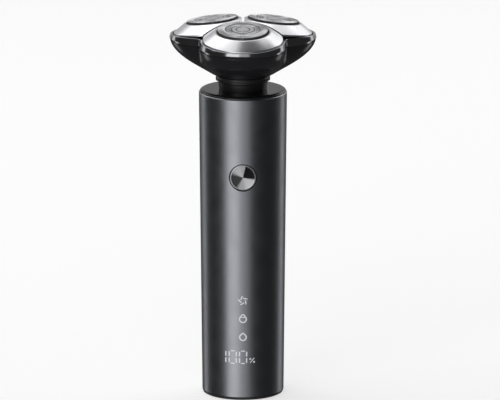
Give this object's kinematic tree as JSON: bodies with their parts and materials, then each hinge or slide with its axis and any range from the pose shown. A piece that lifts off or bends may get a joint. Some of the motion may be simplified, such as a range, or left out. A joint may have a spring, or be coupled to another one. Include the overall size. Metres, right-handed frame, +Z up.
{
  "type": "electric shaver",
  "caption": "Cordless rotary shaver: tapered round handle with a power button and a lit charge display, a swivelling head and a lift-off unit of leaning round cutters",
  "frame": {"origin": "centre of the charging socket's mouth in the base, on the handle's axis, z = 0 on the surface that the shaver stands on", "axes": "+Z up the handle towards the cutters, -Y the side with the button and the display, +X to the right of a viewer who faces the button"},
  "size_m": [0.0604, 0.0571, 0.1572],
  "materials": {
    "gunmetal": "satin metallic lacquer",
    "gloss_black": "high gloss",
    "black_plastic": "fine matt",
    "soft_black": "matt",
    "lit_marks": "translucent",
    "diffuser": "frosted",
    "led": "clear",
    "circuit_board": "solder mask",
    "chassis": "moulded",
    "battery_wrap": "shrink wrap",
    "nickel": "nickel strip",
    "motor_steel": "zinc plated",
    "magnet": "sintered",
    "copper": "drawn",
    "spun_metal": "spun",
    "shaft_steel": "ground",
    "gimbal_nylon": "moulded",
    "gear_nylon": "moulded",
    "pin_plastic": "moulded",
    "bezel_metal": "satin plated",
    "blade_steel": "ground"
  },
  "bodies": {
    "handle": {"body_tube": "gunmetal", "top_deck": "gloss_black", "base_cap": "black_plastic", "base_seal": "soft_black", "display_symbols": "lit_marks", "light_guide": "diffuser", "display_leds": "led", "main_board": "circuit_board", "tact_switch": "motor_steel", "button_boot": "soft_black", "chassis_rear": "chassis", "chassis_front": "chassis", "battery_cell": "battery_wrap", "battery_tabs": "nickel", "charge_socket": "nickel", "motor_can": "motor_steel", "motor_end_cap": "black_plastic", "motor_magnets": "magnet", "motor_mount": "chassis", "motor_screws": "motor_steel", "shaft_seal": "soft_black", "neck_base": "gloss_black", "neck_seal": "soft_black", "neck_collar": "gloss_black"},
    "button": {"button_cap": "spun_metal", "button_stem": "chassis"},
    "rotor": {"motor_shaft": "shaft_steel", "armature_core": "copper", "commutator": "copper", "drive_coupling": "shaft_steel"},
    "gimbal": {"gimbal_ring": "gimbal_nylon", "gimbal_pins": "shaft_steel"},
    "head": {"swivel_ball": "gloss_black", "hair_chamber": "gloss_black", "gear_cover": "black_plastic", "latch_magnets": "nickel", "gear_axles": "shaft_steel"},
    "sun": {"sun_gear": "gear_nylon"},
    "blade_unit": {"blade_frame": "gloss_black", "hinge_plate": "black_plastic"},
    "spindle_front": {"spindle_gear_front": "gear_nylon"},
    "pin_front": {"drive_pin_front": "pin_plastic"},
    "petal_front": {"cutter_holder_front": "black_plastic", "bezel_front": "bezel_metal", "guard_cap_front": "blade_steel"},
    "cutter_front": {"inner_cutter_front": "blade_steel"},
    "spindle_right": {"spindle_gear_right": "gear_nylon"},
    "pin_right": {"drive_pin_right": "pin_plastic"},
    "petal_right": {"cutter_holder_right": "black_plastic", "bezel_right": "bezel_metal", "guard_cap_right": "blade_steel"},
    "cutter_right": {"inner_cutter_right": "blade_steel"},
    "spindle_left": {"spindle_gear_left": "gear_nylon"},
    "pin_left": {"drive_pin_left": "pin_plastic"},
    "petal_left": {"cutter_holder_left": "black_plastic", "bezel_left": "bezel_metal", "guard_cap_left": "blade_steel"},
    "cutter_left": {"inner_cutter_left": "blade_steel"}
  },
  "joints": [
    {"name": "button_press", "type": "slide", "parent": "handle", "child": "button", "axis": [0, 1, 0], "range_m": [0, 0.0006], "stiffness_N_per_m": 2000},
    {"name": "motor_spin", "type": "hinge", "parent": "handle", "child": "rotor", "pos_m": [0, 0, 0.1], "axis": [0, 0, 1], "continuous": true},
    {"name": "head_tilt_x", "type": "hinge", "parent": "handle", "child": "gimbal", "pos_m": [0, 0, 0.138], "axis": [1, 0, 0], "range_deg": [-4, 4], "stiffness_Nm_per_rad": 0.3},
    {"name": "head_tilt_y", "type": "hinge", "parent": "gimbal", "child": "head", "pos_m": [0, 0, 0.138], "axis": [0, 1, 0], "range_deg": [-4, 4], "stiffness_Nm_per_rad": 0.3},
    {"name": "blade_unit_lift", "type": "slide", "parent": "head", "child": "blade_unit", "axis": [0, 0, 1], "range_m": [0, 0.02]},
    {"name": "sun_spin", "type": "hinge", "parent": "head", "child": "sun", "pos_m": [0, 0, 0.138], "axis": [0, 0, 1], "continuous": true},
    {"name": "spindle_spin_front", "type": "hinge", "parent": "head", "child": "spindle_front", "pos_m": [0, -0.014, 0.1415], "axis": [0, 0, 1], "continuous": true},
    {"name": "pin_push_front", "type": "slide", "parent": "spindle_front", "child": "pin_front", "axis": [0, 0, 1], "range_m": [-0.0012, 0], "stiffness_N_per_m": 300},
    {"name": "petal_tilt_front", "type": "hinge", "parent": "blade_unit", "child": "petal_front", "pos_m": [0, -0.01382, 0.14984], "axis": [1, 0, 0], "range_deg": [-4, 2], "stiffness_Nm_per_rad": 0.05},
    {"name": "cutter_spin_front", "type": "hinge", "parent": "petal_front", "child": "cutter_front", "pos_m": [0, -0.0145, 0.155], "axis": [0, -0.1305, 0.9914], "continuous": true},
    {"name": "spindle_spin_right", "type": "hinge", "parent": "head", "child": "spindle_right", "pos_m": [0.01212, 0.007, 0.1415], "axis": [0, 0, 1], "continuous": true},
    {"name": "pin_push_right", "type": "slide", "parent": "spindle_right", "child": "pin_right", "axis": [0, 0, 1], "range_m": [-0.0012, 0], "stiffness_N_per_m": 300},
    {"name": "petal_tilt_right", "type": "hinge", "parent": "blade_unit", "child": "petal_right", "pos_m": [0.01197, 0.00691, 0.14984], "axis": [-0.5, 0.866, 0], "range_deg": [-4, 2], "stiffness_Nm_per_rad": 0.05},
    {"name": "cutter_spin_right", "type": "hinge", "parent": "petal_right", "child": "cutter_right", "pos_m": [0.01256, 0.00725, 0.155], "axis": [0.113, 0.0653, 0.9914], "continuous": true},
    {"name": "spindle_spin_left", "type": "hinge", "parent": "head", "child": "spindle_left", "pos_m": [-0.01212, 0.007, 0.1415], "axis": [0, 0, 1], "continuous": true},
    {"name": "pin_push_left", "type": "slide", "parent": "spindle_left", "child": "pin_left", "axis": [0, 0, 1], "range_m": [-0.0012, 0], "stiffness_N_per_m": 300},
    {"name": "petal_tilt_left", "type": "hinge", "parent": "blade_unit", "child": "petal_left", "pos_m": [-0.01197, 0.00691, 0.14984], "axis": [-0.5, -0.866, 0], "range_deg": [-4, 2], "stiffness_Nm_per_rad": 0.05},
    {"name": "cutter_spin_left", "type": "hinge", "parent": "petal_left", "child": "cutter_left", "pos_m": [-0.01256, 0.00725, 0.155], "axis": [-0.113, 0.0653, 0.9914], "continuous": true}
  ],
  "couplings": [
    {"joint": "sun_spin", "follows": "motor_spin", "ratio": 1},
    {"joint": "spindle_spin_front", "follows": "motor_spin", "ratio": -0.81818},
    {"joint": "cutter_spin_front", "follows": "motor_spin", "ratio": -0.81818},
    {"joint": "spindle_spin_right", "follows": "motor_spin", "ratio": -0.81818},
    {"joint": "cutter_spin_right", "follows": "motor_spin", "ratio": -0.81818},
    {"joint": "spindle_spin_left", "follows": "motor_spin", "ratio": -0.81818},
    {"joint": "cutter_spin_left", "follows": "motor_spin", "ratio": -0.81818}
  ]
}
